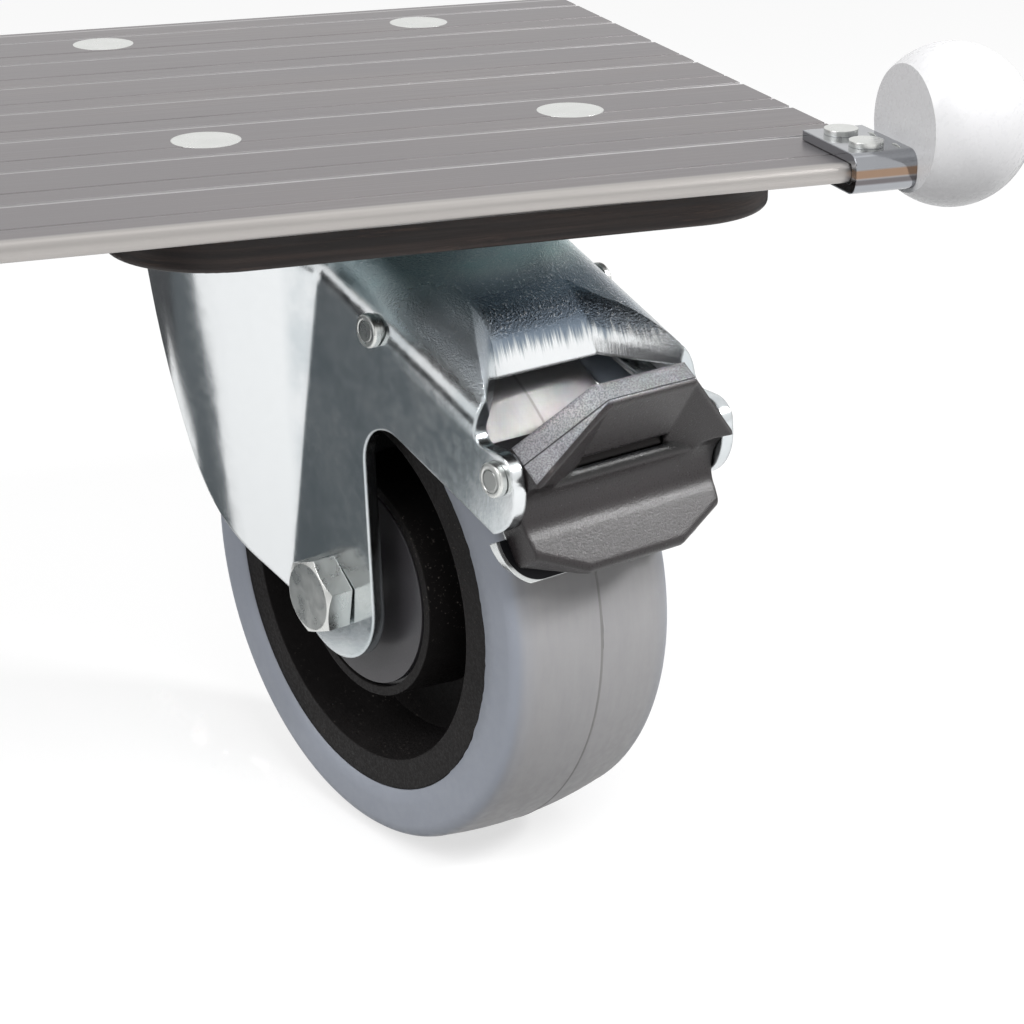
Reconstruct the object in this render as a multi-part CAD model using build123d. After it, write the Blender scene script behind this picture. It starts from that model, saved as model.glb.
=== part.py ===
from build123d import *
import math
import os

# Braked swivel castor under the corner of a trolley deck, in millimetres.
# Row frame: origin on the deck's top face above the swivel axis, +X along the deck's front edge,
# +Y inward from that edge, +Z up. The castor's pieces are drawn in the castor's own frame: origin at
# the wheel's centre, +X towards the brake pedal, +Y along the axle, +Z up.

# Wheel
wheel_diameter = 125.0
wheel_width = 43.3
tyre_crown_drop = 1.7
tyre_shoulder = 3.5
tyre_thickness = 13.75
rim_ridge_height = 2.8
rim_ridge_width = 23.0
rim_face_inset = 0.7
rim_flange_thickness = 7.0
rim_draft = 2.2
web_thickness = 7.0
hub_diameter = 53.6
hub_draft = 1.2
hub_inset = 1.75
cap_diameter = 47.6
cap_lip = 0.9
cap_thickness = 2.4
cap_bore_clearance = 0.5
seat_clearance = 0.02

# Ball bearings in the hub
bearing_bore = 15.0
bearing_outside = 35.0
bearing_width = 11.0
bearing_pitch_diameter = 25.0
bearing_ball_diameter = 5.9
bearing_ball_count = 8
bearing_ring_gap = 3.0
ball_clearance = 0.1

# Axle
axle_diameter = 10.0
axle_sleeve_wall = 2.4
hex_across_flats = 16.0
bolt_head_height = 6.3
bolt_head_turn = 20.0
nut_height = 8.4
washer_diameter = 20.0
washer_thickness = 1.6
thread_end = 2.5
hex_chamfer = 0.8

# Fork, pressed from sheet
sheet = 3.0
swivel_offset = 40.0
fork_side_gap = 2.85
fork_side_lean = 0.04
crease_reach = 23.6
crease_lean = 0.244
crown_overhang = 6.5
crown_taper = 0.128
crown_rise = 25.5
hood_drop = 3.0
hood_fall = 0.36
hood_fillet = 10.5
notch_edge_drop = 29.0
notch_wall_setback = 20.9
notch_half_width = 13.5
notch_wall_lean = 0.40
notch_wing_lean = 0.21
notch_wing_run = 1.15
notch_wing_fall = 0.30
notch_edge_fall = 0.12
notch_bend = 14.0
notch_sink = 0.05
notch_overlap = 1.0
leg_radius = 16.0
window_radius = 10.0
window_top_z = 46.0
ear_rise = 5.4
ear_reach = 5.3
ear_corner = 3.5
notch_side_setback = 7.4
front_lip_drop = 18.0
front_edge_top_reach = 22.0
front_edge_top_drop = 22.0
front_edge_bend = (-44.0, 23.0)
front_edge_mid = (-35.0, 8.5)
front_edge_low = (-23.6, -1.6)
leg_start_deg = 218.0
ear_low_offset = (-1.9, -12.7)
ear_low_corner_offset = (4.4, -7.5)
ear_top_corner_offset = (3.6, 4.0)
crease_fillet = 6.0
ridge_fillet = 40.0
fork_low_z = -30.0
fork_rear_x = 90.0

# Brake
pivot_standoff = 12.3235
pivot_deg = 36.3352
pin_diameter = 6.0
pin_head_diameter = 7.4
pin_head_height = 1.6
pin_clearance = 0.05
spring_pin_x = 22.0
spring_pin_drop = 20.3
shoe_gap = 4.5
shoe_thickness = 2.5
shoe_start_deg = 19.2
shoe_end_deg = 44.0
shoe_wide_deg = 27.5
shoe_overhang = 2.0
shoe_corner = 10.0
cheek_inset = 4.6
cheek_thickness = 2.5
cheek_eye_radius = 5.0
cheek_front = 1.0
cheek_foot_deg = 24.0
cheek_slot_clearance = 0.1
pedal_side_gap = 0.38
pedal_top_half_width = 11.4
pedal_bottom_half_width = 11.0
pedal_low_inset = 1.6
pedal_thickness = 5.9
pedal_rim_offset = (14.0, 15.8)
pedal_slot_offset = (3.1, -0.9)
pedal_shoulder_rise = 17.5
pedal_low_rise = 5.0
pedal_lip_drop = 1.3
pedal_lip_offset = (10.1, -20.4)
pedal_lip_low_offset = (8.7, -22.5)
pedal_face_lead = 1.0
pedal_diagonal_run = 15.7
pedal_edge_round = 1.0
pedal_toe_round = 1.5
pedal_ledge_round = 1.8
pedal_back_setback = 5.4
pedal_back_rise = 2.5
pedal_foot_deg = 23.0
pin_gap = 0.3
pedal_wing_flare_deg = 18.5
scoop_offset = (10.6, -7.7)
scoop_radius = 7.6
scoop_start_deg = 85.0
scoop_end_deg = 225.0
slot_height = 3.4
slot_depth = 3.0
cover_screw_diameter = 3.5
cover_screw_head = 6.0
cover_screw_head_height = 1.2
cover_screw_length = 5.5
cover_screw_deg = 26.0
cover_screw_y = 13.0
spring_thickness = 1.0
spring_width = 6.0
spring_inset = 0.1
spring_gap = 0.4
spring_tip_deg = 118.0
spacer_wall = 1.5

# Swivel head
plate_length = 135.0
plate_width = 110.0
plate_thickness = 3.5
plate_corner = 12.0
bolt_spacing_x = 80.0
bolt_spacing_y = 105.0
plate_bolt_diameter = 8.0
plate_hole_diameter = 9.0
plate_washer_thickness = 1.6
plate_nut_height = 6.5
plate_bolt_end = 1.5
plate_nut_flats = 13.0
plate_washer_diameter = 16.0
countersink_diameter = 14.5
countersink_depth = 3.3
king_pin_diameter = 14.0
king_head_diameter = 24.0
king_head_height = 2.4
king_nut_height = 6.0
king_nut_flats = 22.0
king_pin_gap = 1.0
swivel_ball_diameter = 5.2
upper_ball_circle = 56.0
upper_ball_count = 24
lower_ball_circle = 42.0
lower_ball_count = 18
swivel_gap = 3.5
swivel_clearance = 0.3
cup_thickness = 2.6
cup_diameter = 54.0
seal_outside = 70.0
seal_wall = 2.0
seal_gap = 0.4

# Board and deck
board_thickness = 8.0
board_half_width = 68.5
board_front_y = -109.0
board_back_y = 68.0
board_corner = 22.0
board_edge_round = 1.2
deck_thickness = 4.0
deck_nose = 1.8
nose_share = 0.45
deck_front_y = -116.5
deck_back_y = 72.0
deck_left_x = -97.0
deck_right_x = 86.0
groove_pitch = 25.3
groove_radius = 1.0
fine_groove_offset = 8.9
fine_groove_radius = 0.5
swivel_angle = -72.5

# Corner bumper
clip_thickness = 2.0
clip_left_x = 74.6
clip_depth = 24.0
clip_clearance = 0.1
clip_bend = 3.0
bumper_radius = 16.5
bumper_centre_x = 98.5
bumper_centre_y = -112.4
bumper_centre_height = 5.3
bumper_screw_diameter = 5.0
bumper_screw_head = 9.0
bumper_screw_length = 14.0
bumper_screw_y = (-113.0, -103.0)
clip_rivet_x = 80.5
clip_rivet_y = (-111.0, -100.0)
clip_rivet_diameter = 4.0
clip_rivet_head = 7.0
clip_rivet_head_height = 1.2

# Derived sizes
wheel_radius = wheel_diameter / 2
tyre_bore_diameter = wheel_diameter - 2 * tyre_thickness
hub_width = wheel_width - 2 * hub_inset
fork_half_width = wheel_width / 2 + fork_side_gap + sheet
crown_radius_at_axle = fork_half_width + crown_overhang
crease_x_at_axle = crease_reach - swivel_offset
crown_top_z = wheel_radius + crown_rise
hood_z_at_axle = crown_top_z - hood_drop
notch_edge_z = crown_top_z - notch_edge_drop
front_lip_z = crown_top_z - front_lip_drop
front_edge_top = (-swivel_offset - front_edge_top_reach, crown_top_z - front_edge_top_drop)
spring_pin_z = crown_top_z - spring_pin_drop
plate_low_z = crown_top_z + swivel_gap
plate_top_z = plate_low_z + plate_thickness
axle_depth = plate_top_z + board_thickness + deck_thickness
upper_ball_z = (plate_low_z + crown_top_z) / 2
crown_low_z = crown_top_z - sheet
crown_groove_depth = (swivel_ball_diameter - swivel_gap) / 2
lower_ball_z = crown_low_z - swivel_ball_diameter / 2 + crown_groove_depth
cup_top_z = lower_ball_z - swivel_ball_diameter / 2 + crown_groove_depth
leg_bearing_y = fork_half_width + fork_side_lean * washer_diameter / 2 + seat_clearance
shoe_radius = wheel_radius + shoe_gap
shoe_outer_radius = shoe_radius + shoe_thickness
pivot_x = (shoe_radius + pivot_standoff) * math.cos(math.radians(pivot_deg))
pivot_z = (shoe_radius + pivot_standoff) * math.sin(math.radians(pivot_deg))
ear_top_z = pivot_z + ear_rise
ear_end_x = pivot_x + ear_reach
pedal_half_width = fork_half_width + fork_side_lean * pivot_z - sheet - pedal_side_gap
pedal_low_half_width = pedal_half_width - pedal_low_inset
shoe_half_width = pedal_half_width + shoe_overhang
cheek_half_gap = pedal_half_width - cheek_inset
cheek_outer = cheek_half_gap + cheek_thickness
spring_outer_y = cheek_outer - spring_inset
spring_inner_y = spring_outer_y - spring_width
notch_side_x = pivot_x - notch_side_setback
notch_wall_x = pivot_x - notch_wall_setback
pedal_back_x = pivot_x - pedal_back_setback
pedal_back_top = (pedal_back_x, pivot_z + pedal_back_rise)
board_low_z = -deck_thickness - board_thickness
plate_low_row = board_low_z - plate_thickness
castor_to_row = Pos(0, 0, -axle_depth) * Rot(0, 0, swivel_angle) * Pos(swivel_offset, 0, 0)
through = 200.0


def from_pivot(offset):
    """Point of the side view, given from the brake pin."""
    return (pivot_x + offset[0], pivot_z + offset[1])


ear_low = from_pivot(ear_low_offset)
ear_low_corner = from_pivot(ear_low_corner_offset)
ear_top_corner = from_pivot(ear_top_corner_offset)
pedal_rim_front = from_pivot(pedal_rim_offset)
pedal_slot_point = from_pivot(pedal_slot_offset)
pedal_lip_front = from_pivot(pedal_lip_offset)
pedal_lip_low = from_pivot(pedal_lip_low_offset)
scoop_centre = from_pivot(scoop_offset)


def along_axle(radius, y_low, y_high, x=0.0, z=0.0):
    """Cylinder parallel to the axle, between two planes across it."""
    return Pos(x, (y_low + y_high) / 2, z) * Rot(90, 0, 0) * Cylinder(radius, y_high - y_low)


def upright(radius, z_low, z_high, x=0.0, y=0.0):
    """Cylinder along Z between two heights."""
    return Pos(x, y, (z_low + z_high) / 2) * Cylinder(radius, z_high - z_low)


def block(x_low, x_high, y_low, y_high, z_low, z_high):
    """Box between its six planes."""
    centre = ((x_low + x_high) / 2, (y_low + y_high) / 2, (z_low + z_high) / 2)
    return Pos(*centre) * Box(x_high - x_low, y_high - y_low, z_high - z_low)


def torus(ring_radius, wire_radius, z):
    """Ring of round section about the Z axis."""
    return Pos(0, 0, z) * revolve(Plane.XZ * Pos(ring_radius, 0) * Circle(wire_radius), Axis.Z)


def turned(outline):
    """Solid of revolution about the axle, from an outline of (radius, place along the axle)."""
    return revolve(make_face(outline), Axis.Y)


def hexagon_prism(across_flats, height, turn=0.0):
    """Hexagon standing on Z = 0 with its upper corners chamfered."""
    corner_radius = across_flats / math.sqrt(3)
    blank = upright(corner_radius, 0, height)
    rim = blank.edges().sort_by(Axis.Z)[-1]
    blank = chamfer(rim, hex_chamfer, hex_chamfer * 2)
    return extrude(Rot(0, 0, turn) * RegularPolygon(corner_radius, 6), height) & blank


def side_prism(outline, half_width=through):
    """Outline in the castor's side view, X to the right and Z up, carried across the castor."""
    return extrude(Plane.XZ * make_face(outline), half_width, both=True)


def polar(radius, degrees, centre=(0.0, 0.0)):
    """Point at an angle from the side view's X axis."""
    angle = math.radians(degrees)
    return (centre[0] + radius * math.cos(angle), centre[1] + radius * math.sin(angle))


def ring_sector(inner, outer, start, end, half_width):
    """Curved plate about the wheel's centre, between two angles of the side view."""
    middle = (start + end) / 2
    outline = ThreePointArc(polar(inner, start), polar(inner, middle), polar(inner, end))
    outline += Line(polar(inner, end), polar(outer, end))
    outline += ThreePointArc(polar(outer, end), polar(outer, middle), polar(outer, start))
    outline += Line(polar(outer, start), polar(inner, start))
    return side_prism(outline, half_width)


def circle_of(piece, count):
    """Copies of a piece spaced evenly about the Z axis."""
    return [Rot(0, 0, 360 * index / count) * piece for index in range(count)]


def bolt_places():
    """Places of the four bolts about the swivel axis."""
    signs = (-1, 1)
    return [(x * bolt_spacing_x / 2, y * bolt_spacing_y / 2) for x in signs for y in signs]


def make_tyre():
    half = wheel_width / 2
    bore = tyre_bore_diameter / 2 + seat_clearance
    ridge = bore + rim_ridge_height
    ridge_half = rim_ridge_width / 2 + seat_clearance
    edge = wheel_radius - tyre_crown_drop
    low = edge - tyre_shoulder
    flat = half - tyre_shoulder
    round_r = low + tyre_shoulder * math.sin(math.radians(45))
    round_y = flat + tyre_shoulder * math.sin(math.radians(45))
    outline = ThreePointArc((edge, -flat), (wheel_radius, 0), (edge, flat))
    outline += ThreePointArc((edge, flat), (round_r, round_y), (low, half))
    outline += Polyline((low, half), (bore, half - rim_face_inset / 2), (bore, ridge_half),
                        (ridge, ridge_half), (ridge, -ridge_half), (bore, -ridge_half),
                        (bore, rim_face_inset / 2 - half), (low, -half))
    outline += ThreePointArc((low, -half), (round_r, -round_y), (edge, -flat))
    return turned(outline)


def make_rim():
    face = wheel_width / 2 - rim_face_inset
    outer = tyre_bore_diameter / 2
    ridge = outer + rim_ridge_height
    ridge_half = rim_ridge_width / 2
    lip = outer - rim_flange_thickness
    web = web_thickness / 2
    hub = hub_diameter / 2
    hub_face = hub_width / 2
    recess = cap_diameter / 2 + cap_lip
    seat = bearing_outside / 2 + seat_clearance
    shoulder = seat - bearing_ring_gap
    seat_end = hub_face - cap_thickness - seat_clearance
    seat_start = seat_end - bearing_width - seat_clearance
    half = [(shoulder, 0), (shoulder, seat_start), (seat, seat_start), (seat, seat_end),
            (recess, seat_end), (recess, hub_face), (hub, hub_face), (hub + hub_draft, web),
            (lip - rim_draft, web), (lip, face), (outer, face), (outer, ridge_half),
            (ridge, ridge_half), (ridge, 0)]
    mirrored = [(r, -y) for r, y in reversed(half[1:-1])]
    return turned(Polyline(*half, *mirrored, close=True))


def make_dust_caps():
    outer_face = hub_width / 2
    inner_face = outer_face - cap_thickness
    bore = bearing_bore / 2 + cap_bore_clearance
    step = inner_face + cap_thickness / 3
    lip = cap_diameter / 2 + cap_lip - seat_clearance
    outline = Polyline((bore, inner_face), (lip, inner_face), (lip, step), (cap_diameter / 2, step),
                       (cap_diameter / 2, outer_face), (bore, outer_face), close=True)
    cap = turned(outline)
    return [cap, mirror(cap, Plane.XZ)]


def bearing_middle():
    """Place of each bearing's middle plane along the axle."""
    return hub_width / 2 - cap_thickness - seat_clearance - bearing_width / 2


def make_bearing_rings(inner_radius, outer_radius):
    pitch = bearing_pitch_diameter / 2
    groove = bearing_ball_diameter / 2 + ball_clearance
    rings = []
    for side in (-1, 1):
        middle = side * bearing_middle()
        tube = along_axle(outer_radius, middle - bearing_width / 2, middle + bearing_width / 2)
        tube -= along_axle(inner_radius, -through, through)
        race = Pos(0, middle, 0) * Rot(90, 0, 0) * torus(pitch, groove, 0)
        rings.append(tube - race)
    return rings


def make_bearing_balls():
    balls = []
    for side in (-1, 1):
        for ball in circle_of(Pos(bearing_pitch_diameter / 2, 0, 0) * Sphere(bearing_ball_diameter / 2),
                              bearing_ball_count):
            balls.append(Pos(0, side * bearing_middle(), 0) * Rot(90, 0, 0) * ball)
    return balls


def make_axle_sleeve():
    half = fork_half_width - sheet - fork_side_lean * bearing_bore / 2 - seat_clearance
    sleeve = along_axle(bearing_bore / 2 - seat_clearance, -half, half)
    return sleeve - along_axle(bearing_bore / 2 - axle_sleeve_wall, -half, half)


def make_axle_bolt():
    end = leg_bearing_y + washer_thickness + nut_height + thread_end
    shank = along_axle(axle_diameter / 2, -leg_bearing_y, end)
    tip = shank.edges().sort_by(Axis.Y)[-1]
    shank = chamfer(tip, hex_chamfer)
    head = hexagon_prism(hex_across_flats, bolt_head_height, bolt_head_turn)
    return shank + Pos(0, -leg_bearing_y, 0) * Rot(90, 0, 0) * head


def make_axle_nut():
    nut = hexagon_prism(hex_across_flats, nut_height)
    nut -= upright(axle_diameter / 2 + seat_clearance, -through, through)
    return Pos(0, leg_bearing_y + washer_thickness, 0) * Rot(-90, 0, 0) * nut


def make_axle_washer():
    washer = along_axle(washer_diameter / 2, leg_bearing_y, leg_bearing_y + washer_thickness)
    return washer - along_axle(axle_diameter / 2 + seat_clearance, -through, through)


def fork_section(z, inset):
    """Plan of the fork's envelope at one height: round crown, flared cheeks and straight sides."""
    half = fork_half_width + fork_side_lean * z - inset
    crease = crease_x_at_axle + crease_lean * z
    radius = crown_radius_at_axle + crown_taper * z - inset
    reach = math.hypot(crease + swivel_offset, half)
    angle = math.atan2(half, crease + swivel_offset) + math.acos(radius / reach)
    tangent_x = radius * math.cos(angle) - swivel_offset
    tangent_y = radius * math.sin(angle)
    outline = ThreePointArc((tangent_x, tangent_y), (-swivel_offset - radius, 0), (tangent_x, -tangent_y))
    outline += Polyline((tangent_x, -tangent_y), (crease, -half), (fork_rear_x, -half),
                        (fork_rear_x, half), (crease, half), (tangent_x, tangent_y))
    return Pos(0, 0, z) * make_face(outline)


def fork_envelope(inset):
    """Solid filling the fork's pressed sheet, or the space inside it."""
    body = loft([fork_section(fork_low_z, inset), fork_section(crown_top_z + sheet, inset)], ruled=True)
    slant = math.hypot(1, hood_fall)
    crown = crown_top_z - inset
    hood = hood_z_at_axle - inset * slant
    ridge_x = (hood - crown) / hood_fall
    end_x = fork_rear_x + sheet
    roof = Polyline((-through, crown), (ridge_x, crown), (end_x, hood - hood_fall * end_x), (end_x, -through),
                    (-through, -through), close=True)
    body &= side_prism(roof)

    def on_crease(edge):
        middle = edge @ 0.5
        return abs(middle.X - crease_x_at_axle - crease_lean * middle.Z) < 0.01 and abs(middle.Y) > sheet

    def on_ridge(edge):
        middle = edge @ 0.5
        return abs(middle.X - ridge_x) < 0.01 and abs(middle.Y) < 0.01

    def on_roof(edge):
        middle = edge @ 0.5
        height = min(crown, hood - hood_fall * middle.X)
        at_side = abs(middle.Y) > sheet or middle.X < -swivel_offset
        return at_side and abs(middle.Z - height) < sheet / 2 and middle.X < fork_rear_x - sheet

    body = fillet(body.edges().filter_by(on_crease), crease_fillet + inset)
    body = fillet(body.edges().filter_by(on_ridge), ridge_fillet - inset)
    return fillet(body.edges().filter_by(on_roof), hood_fillet - inset)


def notch_bend_face(inset, y, wall_x, lean):
    """Space in front of the hood's rounded bend and the wall below it, in one plane across the axle."""
    hood = hood_z_at_axle - notch_sink - inset * math.hypot(1, hood_fall)
    corner_x = (wall_x - lean * (hood - notch_edge_z)) / (1 - lean * hood_fall)
    corner = Vector(corner_x, y, hood - hood_fall * corner_x)
    back = Vector(-1, 0, hood_fall).normalized()
    down = Vector(lean, 0, -1).normalized()
    half_angle = math.radians(back.get_angle(down) / 2)
    radius = notch_bend - inset
    run = radius / math.tan(half_angle)
    start = corner + back * run
    apex = corner + (back + down).normalized() * (radius / math.sin(half_angle) - radius)
    end = corner + down * run
    foot = corner + down * through
    outline = ThreePointArc(start, apex, end)
    outline += Polyline(end, foot, (through, y, foot.Z), (through, y, through), (start.X, y, through), start)
    return make_face(outline)


def notch_tool(inset, overlap):
    """Space over the pedal, in front of the hood's bent-down rear wall and the two wings beside it."""
    wall = notch_bend_face(inset, 0, notch_wall_x - inset, notch_wall_lean)
    tool = extrude(wall, through, dir=(0, 1, 0), both=True)
    for side in (-1, 1):
        wing_x = notch_wall_x - inset * math.hypot(1, notch_wing_run)
        wing = notch_bend_face(inset, side * notch_half_width, wing_x, notch_wing_lean)
        along = Vector(notch_wing_run, side, -notch_wing_fall)
        tool &= Pos(*(along * -through / 4)) * extrude(wing, along.length * through / 2, dir=along)
    edge = notch_edge_z - overlap
    end = edge - notch_edge_fall * (through - notch_half_width)
    bottom = Polyline((-through, end), (-notch_half_width, edge), (notch_half_width, edge), (through, end),
                      (through, through), (-through, through), close=True)
    return tool & extrude(Plane.YZ * make_face(bottom), through, both=True)


def fork_outline():
    """Side view of the fork: swept front edge, leg round the axle, window, arm and pivot ear."""
    window = (leg_radius + window_radius, window_top_z - window_radius)
    reach = math.dist(ear_low, window)
    arm_angle = math.degrees(math.acos(window_radius / reach) + math.atan2(ear_low[1] - window[1], reach))
    leg_start = polar(leg_radius, leg_start_deg)
    ear_side = (ear_end_x, pivot_z)
    ear_top = (pivot_x, ear_top_z)
    outline = Polyline((-through, crown_top_z + sheet), (-through, front_lip_z), front_edge_top,
                       front_edge_bend)
    outline += ThreePointArc(front_edge_bend, front_edge_mid, front_edge_low)
    outline += Line(front_edge_low, leg_start)
    outline += ThreePointArc(leg_start, (0, -leg_radius), (leg_radius, 0))
    outline += Line((leg_radius, 0), (leg_radius, window[1]))
    outline += ThreePointArc((leg_radius, window[1]), polar(window_radius, 120, window),
                             polar(window_radius, arm_angle, window))
    outline += Line(polar(window_radius, arm_angle, window), ear_low)
    outline += ThreePointArc(ear_low, ear_low_corner, ear_side)
    outline += ThreePointArc(ear_side, ear_top_corner, ear_top)
    corner = (notch_side_x + ear_corner, ear_top_z + ear_corner)
    arc_start = (corner[0], ear_top_z)
    arc_end = (notch_side_x, corner[1])
    outline += Line(ear_top, arc_start)
    outline += ThreePointArc(arc_start, polar(ear_corner, 225, corner), arc_end)
    outline += Polyline(arc_end, (notch_side_x, crown_top_z + sheet), (-through, crown_top_z + sheet))
    return outline


def make_fork():
    outside = fork_envelope(0) - notch_tool(0, notch_overlap)
    inside = fork_envelope(sheet) - notch_tool(sheet, 0)
    fork = (outside - inside) & side_prism(fork_outline())
    fork -= along_axle(axle_diameter / 2 + seat_clearance, -through, through)
    fork -= along_axle(pin_diameter / 2 + seat_clearance, -through, through, pivot_x, pivot_z)
    fork -= along_axle(pin_diameter / 2 + seat_clearance, -through, through, spring_pin_x, spring_pin_z)
    fork -= upright(king_pin_diameter / 2 + king_pin_gap, crown_low_z - sheet, crown_top_z + sheet,
                    -swivel_offset)
    wire = swivel_ball_diameter / 2 + swivel_clearance
    fork -= Pos(-swivel_offset, 0, 0) * torus(upper_ball_circle / 2, wire, upper_ball_z)
    fork -= Pos(-swivel_offset, 0, 0) * torus(lower_ball_circle / 2, wire, lower_ball_z)
    return fork


def make_pin(x, z):
    """Cross pin with a riveted head outside each of the fork's sides."""
    seat = fork_half_width + fork_side_lean * (z + pin_head_diameter / 2) + seat_clearance
    pin = along_axle(pin_diameter / 2, -seat, seat, x, z)
    for side in (-1, 1):
        ends = sorted((side * seat, side * (seat + pin_head_height)))
        head = along_axle(pin_head_diameter / 2, *ends, x, z)
        rim = head.edges().sort_by(Axis.Y)[-1 if side > 0 else 0]
        pin += fillet(rim, pin_head_height / 3)
    return pin


def make_spring_spacer():
    inner = pin_diameter / 2 + seat_clearance
    half = spring_inner_y - seat_clearance
    tube = along_axle(inner + spacer_wall, -half, half, spring_pin_x, spring_pin_z)
    return tube - along_axle(inner, -half, half, spring_pin_x, spring_pin_z)


def make_brake_spring():
    """Leaf curled round the spring pin, with its tip on the lever's far eye."""
    inner = pin_diameter / 2 + seat_clearance
    middle = inner + spring_thickness / 2
    centre = (spring_pin_x, spring_pin_z)
    tip = polar(cheek_eye_radius + spring_gap + spring_thickness / 2, spring_tip_deg,
                (pivot_x, pivot_z))
    reach = math.dist(centre, tip)
    heading = math.degrees(math.atan2(tip[1] - centre[1], tip[0] - centre[0]))
    start = polar(middle, heading - math.degrees(math.acos(middle / reach)), centre)
    length = math.dist(start, tip)
    half = spring_thickness / 2
    across_x = (start[1] - tip[1]) / length * half
    across_z = (tip[0] - start[0]) / length * half
    corners = [(start[0] + across_x, start[1] + across_z), (tip[0] + across_x, tip[1] + across_z),
               (tip[0] - across_x, tip[1] - across_z), (start[0] - across_x, start[1] - across_z)]
    leaf = side_prism(Polyline(*corners, close=True))
    leaf += along_axle(inner + spring_thickness, -through, through, *centre)
    leaf -= along_axle(inner, -through, through, *centre)
    return leaf & block(-through, through, spring_inner_y, spring_outer_y, -through, through)


def lever_cheek(grow):
    """Side view of the lever's cheek, or of the slot it sits in, carried across the castor."""
    outer = shoe_outer_radius
    front = pivot_x + cheek_front + grow
    plate = side_prism(Polyline((front, pivot_z), (front, pivot_z - cheek_eye_radius),
                                polar(outer, cheek_foot_deg), polar(outer, shoe_wide_deg),
                                polar(outer, (shoe_wide_deg + shoe_end_deg) / 2), polar(outer, shoe_end_deg),
                                (pivot_x - cheek_eye_radius, pivot_z + grow), close=True))
    plate += ring_sector(shoe_radius, outer, cheek_foot_deg, shoe_end_deg, through)
    return plate + along_axle(cheek_eye_radius + grow, -through, through, pivot_x, pivot_z)


def screw_frame(side):
    """Frame of a cover screw: origin on the shoe's inner face, Z outward through the shoe."""
    x, z = polar(shoe_radius, cover_screw_deg)
    return Pos(x, side * cover_screw_y, z) * Rot(0, 90 - cover_screw_deg, 0)


def screw_bores():
    """Bores of the two cover screws, in the shoe and in the cover."""
    end = cover_screw_length + seat_clearance
    bore = upright(cover_screw_diameter / 2 + seat_clearance, -end, end)
    bore += upright(cover_screw_head / 2 + seat_clearance, -end, 0)
    return screw_frame(-1) * bore + screw_frame(1) * bore


def make_pedal_lever():
    """Steel lever: two cheeks on the pivot pin and a curved shoe that faces the tread."""
    shoe = ring_sector(shoe_radius, shoe_outer_radius, shoe_start_deg, shoe_end_deg, cheek_outer)
    shoe += ring_sector(shoe_radius, shoe_outer_radius, shoe_start_deg, shoe_wide_deg, shoe_half_width)
    low = polar(shoe_radius, shoe_start_deg)[1]
    tall = through / 2
    rounded = Pos(0, low + tall / 2) * RectangleRounded(shoe_half_width * 2, tall, shoe_corner)
    shoe &= extrude(Plane.YZ * rounded, through)
    cheek = lever_cheek(0) - along_axle(pin_diameter / 2 + pin_clearance, -through, through, pivot_x, pivot_z)
    far = cheek & block(-through, through, cheek_half_gap, cheek_outer, -through, through)
    return shoe + far + mirror(far, Plane.XZ) - screw_bores()


def make_cover_screws():
    head = upright(cover_screw_head / 2, -cover_screw_head_height, 0)
    rim = head.edges().sort_by(Axis.Z)[0]
    screw = fillet(rim, cover_screw_head_height / 2)
    screw += upright(cover_screw_diameter / 2, 0, cover_screw_length)
    return [screw_frame(-1) * screw, screw_frame(1) * screw]


def pedal_slope():
    """Length of the pedal's upper face and its direction down the slope."""
    run = math.dist(pedal_rim_front, pedal_slot_point)
    down = Vector(pedal_slot_point[0] - pedal_rim_front[0], 0, pedal_slot_point[1] - pedal_rim_front[1]) / run
    return run, down


def pedal_profile():
    """Side view of the pedal cover before its upper face is dished."""
    back = shoe_outer_radius + seat_clearance
    run, down = pedal_slope()
    lead = (pedal_rim_front[0] - down.Z * pedal_face_lead, pedal_rim_front[1] + down.X * pedal_face_lead)
    rim_back = (pedal_rim_front[0] + down.Z * pedal_thickness, pedal_rim_front[1] - down.X * pedal_thickness)
    roof_end = (rim_back[0] + down.X * pedal_diagonal_run, rim_back[1] + down.Z * pedal_diagonal_run)
    scoop_top = polar(scoop_radius, scoop_start_deg, scoop_centre)
    scoop_low = polar(scoop_radius, scoop_end_deg, scoop_centre)
    foot = polar(back, pedal_foot_deg)
    heel_deg = math.degrees(math.acos(pedal_back_x / back))
    heel = polar(back, heel_deg)
    outline = Polyline(roof_end, rim_back, pedal_rim_front, lead, scoop_top)
    scoop_middle = polar(scoop_radius, (scoop_start_deg + scoop_end_deg) / 2, scoop_centre)
    outline += ThreePointArc(scoop_top, scoop_middle, scoop_low)
    outline += Polyline(scoop_low, pedal_lip_front, pedal_lip_low, foot)
    outline += ThreePointArc(foot, polar(back, (pedal_foot_deg + heel_deg) / 2), heel)
    outline += Polyline(heel, pedal_back_top, roof_end)
    return outline


def pedal_front():
    """Pedal's lower outline, tapering to its bottom edge, carried square to the lower face."""
    top = polar(scoop_radius, scoop_end_deg, scoop_centre)
    normal = (top[1] - pedal_lip_front[1], 0, pedal_lip_front[0] - top[0])
    face = Plane(origin=(pedal_lip_front[0], 0, pedal_lip_front[1]), x_dir=(0, 1, 0), z_dir=normal)
    right = [(pedal_bottom_half_width, -pedal_lip_drop), (pedal_low_half_width, pedal_low_rise),
             (pedal_half_width, pedal_shoulder_rise), (pedal_half_width, through)]
    left = [(-y, rise) for y, rise in reversed(right)]
    return extrude(face * make_face(Polyline(*right, *left, close=True)), through, both=True)


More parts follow.
